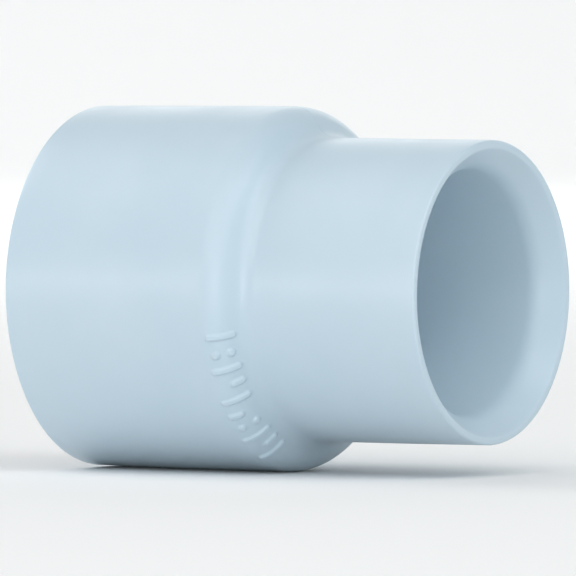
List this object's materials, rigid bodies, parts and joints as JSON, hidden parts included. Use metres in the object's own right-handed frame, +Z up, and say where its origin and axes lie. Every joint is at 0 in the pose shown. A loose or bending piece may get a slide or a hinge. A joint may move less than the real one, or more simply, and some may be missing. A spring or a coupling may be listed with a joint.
{
  "type": "pipe reducing coupling",
  "caption": "One-piece moulded PVC reducing coupling: a wide and a narrow solvent-weld pipe socket on one axis, joined by a rounded shoulder and an internal pipe-stop web.",
  "frame": {"origin": "on the bore's axis, half way between the two mouths", "axes": "+X along the bore towards the small mouth, the large mouth faces -X; +Z is up with the fitting lying on its side, and any turn about X is the same"},
  "size_m": [0.0636, 0.0506, 0.0506],
  "materials": {
    "pvc": "satin moulded PVC, pale blue-white"
  },
  "bodies": {
    "root": {"coupling_body": "pvc"}
  },
  "joints": []
}
